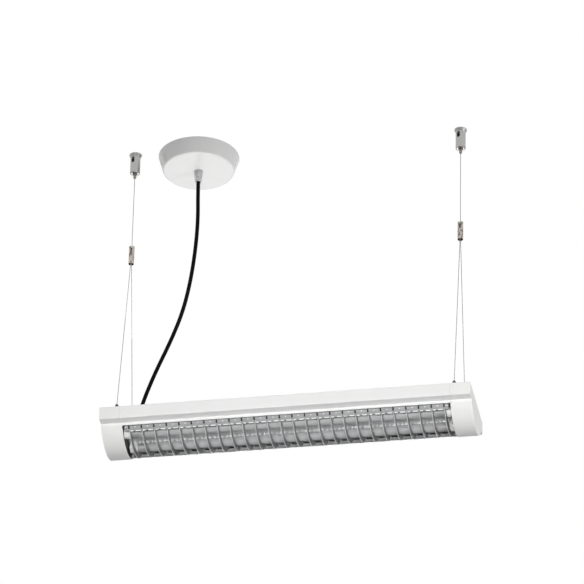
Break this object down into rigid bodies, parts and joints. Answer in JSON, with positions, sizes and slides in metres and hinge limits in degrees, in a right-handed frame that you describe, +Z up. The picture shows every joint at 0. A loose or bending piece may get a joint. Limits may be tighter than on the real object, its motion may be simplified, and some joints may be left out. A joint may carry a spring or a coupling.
{
  "type": "linear pendant light",
  "caption": "Linear office pendant: white housing with a curved metal louvre over fluorescent tubes, hung on steel wires from ceiling couplers and fed by a cord from a round canopy.",
  "frame": {"origin": "on the ceiling, midway between the two ceiling couplers", "axes": "+Z up into the ceiling, +X along the lamp to its right end, -Y to the front"},
  "size_m": [0.65, 0.172, 0.616],
  "materials": {
    "white_profile": "white powder coat, satin",
    "white_steel": "white paint, satin",
    "white_plastic": "moulded white, satin",
    "ballast_case": "moulded, matt",
    "terminal_plastic": "moulded, matt",
    "bright_aluminium": "anodised, semi-specular",
    "dark_plastic": "moulded, matt",
    "tube_glass": "white phosphor coat inside clear glass",
    "tube_metal": "drawn, bright",
    "pin_brass": "bright",
    "steel_wire": "stranded, bright",
    "nickel": "nickel plate, satin",
    "plunger_brass": "nickel plate over brass, worn warm",
    "zinc_steel": "zinc plate",
    "clear_plastic": "translucent",
    "black_sheath": "matt black sheath"
  },
  "bodies": {
    "ceiling": {"canopy_cover": "white_plastic", "canopy_bracket": "zinc_steel", "canopy_side_screws": "zinc_steel", "canopy_terminal": "terminal_plastic", "cord_grip": "clear_plastic", "cord_grip_nut": "clear_plastic", "cord_grip_screw": "zinc_steel", "power_cord": "black_sheath", "coupler_base_left": "nickel", "coupler_body_left": "nickel", "coupler_spring_left": "zinc_steel", "ceiling_wire_left": "steel_wire", "coupler_base_right": "nickel", "coupler_body_right": "nickel", "coupler_spring_right": "zinc_steel", "ceiling_wire_right": "steel_wire"},
    "plunger_left": {"release_plunger_left": "plunger_brass", "grip_balls_left": "steel_wire"},
    "plunger_right": {"release_plunger_right": "plunger_brass", "grip_balls_right": "steel_wire"},
    "lamp": {"housing_shell": "white_profile", "gear_tray": "white_steel", "end_cap_left": "white_plastic", "end_cap_right": "white_plastic", "cover_screws": "zinc_steel", "reflector": "bright_aluminium", "ballast": "ballast_case", "ballast_screws": "zinc_steel", "mains_terminal": "terminal_plastic", "cord_gland": "dark_plastic", "gland_nut": "dark_plastic", "hinge_lugs": "dark_plastic", "louvre_catches": "dark_plastic", "end_baffles": "dark_plastic", "wire_anchors": "dark_plastic", "anchor_nuts": "zinc_steel", "yoke_balls": "steel_wire", "wire_balls": "steel_wire", "yoke_barrel_left": "nickel", "yoke_barrel_right": "nickel", "lampholder_front_left": "white_plastic", "lampholder_front_right": "white_plastic", "lampholder_rear_left": "white_plastic", "lampholder_rear_right": "white_plastic", "yoke_wire_left_front": "steel_wire", "yoke_wire_right_front": "steel_wire", "yoke_wire_left_rear": "steel_wire", "yoke_wire_right_rear": "steel_wire"},
    "louvre": {"louvre_blades": "bright_aluminium", "louvre_rail_front": "bright_aluminium", "louvre_rail_rear": "bright_aluminium", "louvre_pins": "zinc_steel"},
    "tube_front": {"tube_glass_front": "tube_glass", "tube_caps_front": "tube_metal", "tube_pins_front": "pin_brass", "socket_rotors_front": "white_plastic"},
    "tube_rear": {"tube_glass_rear": "tube_glass", "tube_caps_rear": "tube_metal", "tube_pins_rear": "pin_brass", "socket_rotors_rear": "white_plastic"}
  },
  "joints": [
    {"name": "height_adjust", "type": "slide", "parent": "ceiling", "child": "lamp", "axis": [0, 0, 1], "range_m": [0, 0.14], "deforming": ["ceiling_wire_left", "ceiling_wire_right", "power_cord"]},
    {"name": "louvre_hinge", "type": "hinge", "parent": "lamp", "child": "louvre", "pos_m": [0, 0.0513, -0.59202], "axis": [1, 0, 0], "range_deg": [0, 90]},
    {"name": "tube_front_turn", "type": "hinge", "parent": "lamp", "child": "tube_front", "pos_m": [0, -0.026, -0.59], "axis": [1, 0, 0], "range_deg": [0, 90]},
    {"name": "tube_rear_turn", "type": "hinge", "parent": "lamp", "child": "tube_rear", "pos_m": [0, 0.026, -0.59], "axis": [1, 0, 0], "range_deg": [0, 90]},
    {"name": "plunger_left_press", "type": "slide", "parent": "ceiling", "child": "plunger_left", "axis": [0, 0, 1], "range_m": [0, 0.0025], "stiffness_N_per_m": 500, "springref_m": -0.004, "deforming": ["coupler_spring_left"]},
    {"name": "plunger_right_press", "type": "slide", "parent": "ceiling", "child": "plunger_right", "axis": [0, 0, 1], "range_m": [0, 0.0025], "stiffness_N_per_m": 500, "springref_m": -0.004, "deforming": ["coupler_spring_right"]}
  ]
}
